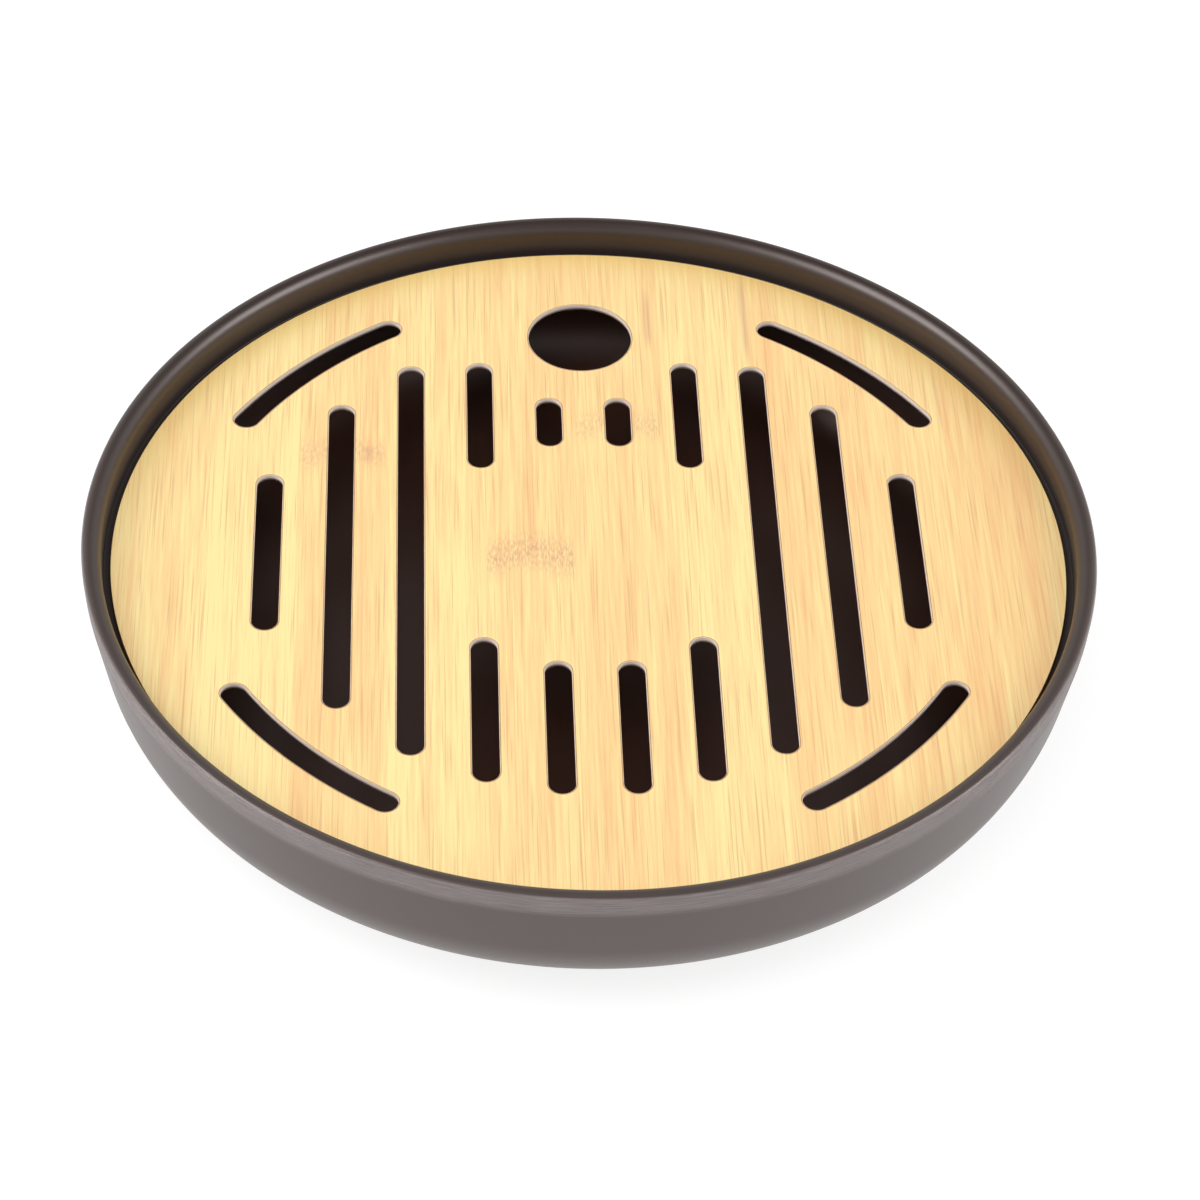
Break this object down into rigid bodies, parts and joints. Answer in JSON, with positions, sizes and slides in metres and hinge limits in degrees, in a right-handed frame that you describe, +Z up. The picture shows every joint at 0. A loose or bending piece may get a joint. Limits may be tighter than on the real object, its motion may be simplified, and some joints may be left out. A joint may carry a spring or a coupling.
{
  "type": "gongfu tea tray",
  "caption": "Shallow round bowl with a rounded lip and a loose slotted round board on an inner ledge, which drains spilled tea into the reservoir below.",
  "frame": {"origin": "on the table, under the middle of the tray", "axes": "+Z up, front towards -Y, with the panel's finger hole at the back, towards +Y"},
  "size_m": [0.254, 0.254, 0.045],
  "materials": {
    "melamine": "black moulded melamine, satin",
    "bamboo": "natural bamboo, clear satin lacquer",
    "rubber": "matte black"
  },
  "bodies": {
    "basin": {"basin": "melamine", "foot_pad_1": "rubber", "foot_pad_2": "rubber", "foot_pad_3": "rubber", "foot_pad_4": "rubber"},
    "panel": {"slotted_panel": "bamboo"}
  },
  "joints": [
    {"name": "panel_lift", "type": "slide", "parent": "basin", "child": "panel", "axis": [0, 0, 1], "range_m": [0, 0.06]}
  ]
}
